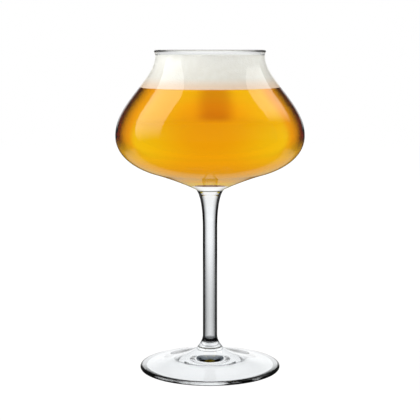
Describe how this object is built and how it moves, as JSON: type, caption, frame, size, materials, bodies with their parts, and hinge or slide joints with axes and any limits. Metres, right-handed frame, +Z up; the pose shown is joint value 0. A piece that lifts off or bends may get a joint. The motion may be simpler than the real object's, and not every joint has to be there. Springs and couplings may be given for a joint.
{
  "type": "beer glass",
  "caption": "Stemmed tulip beer glass with a wide belly, drawn-in neck, slender stem and round foot, filled with golden beer under a foam head.",
  "frame": {"origin": "centre of the standing ring under the foot, on the plane that the glass stands on", "axes": "+Z up along the axis of the glass; it is round, so X and Y are alike"},
  "size_m": [0.1112, 0.1112, 0.19],
  "materials": {
    "clear_glass": "polished",
    "beer": "gloss",
    "foam": "matte"
  },
  "bodies": {
    "root": {"foot": "clear_glass", "stem": "clear_glass", "bowl": "clear_glass", "beer": "beer", "foam_head": "foam"}
  },
  "joints": []
}
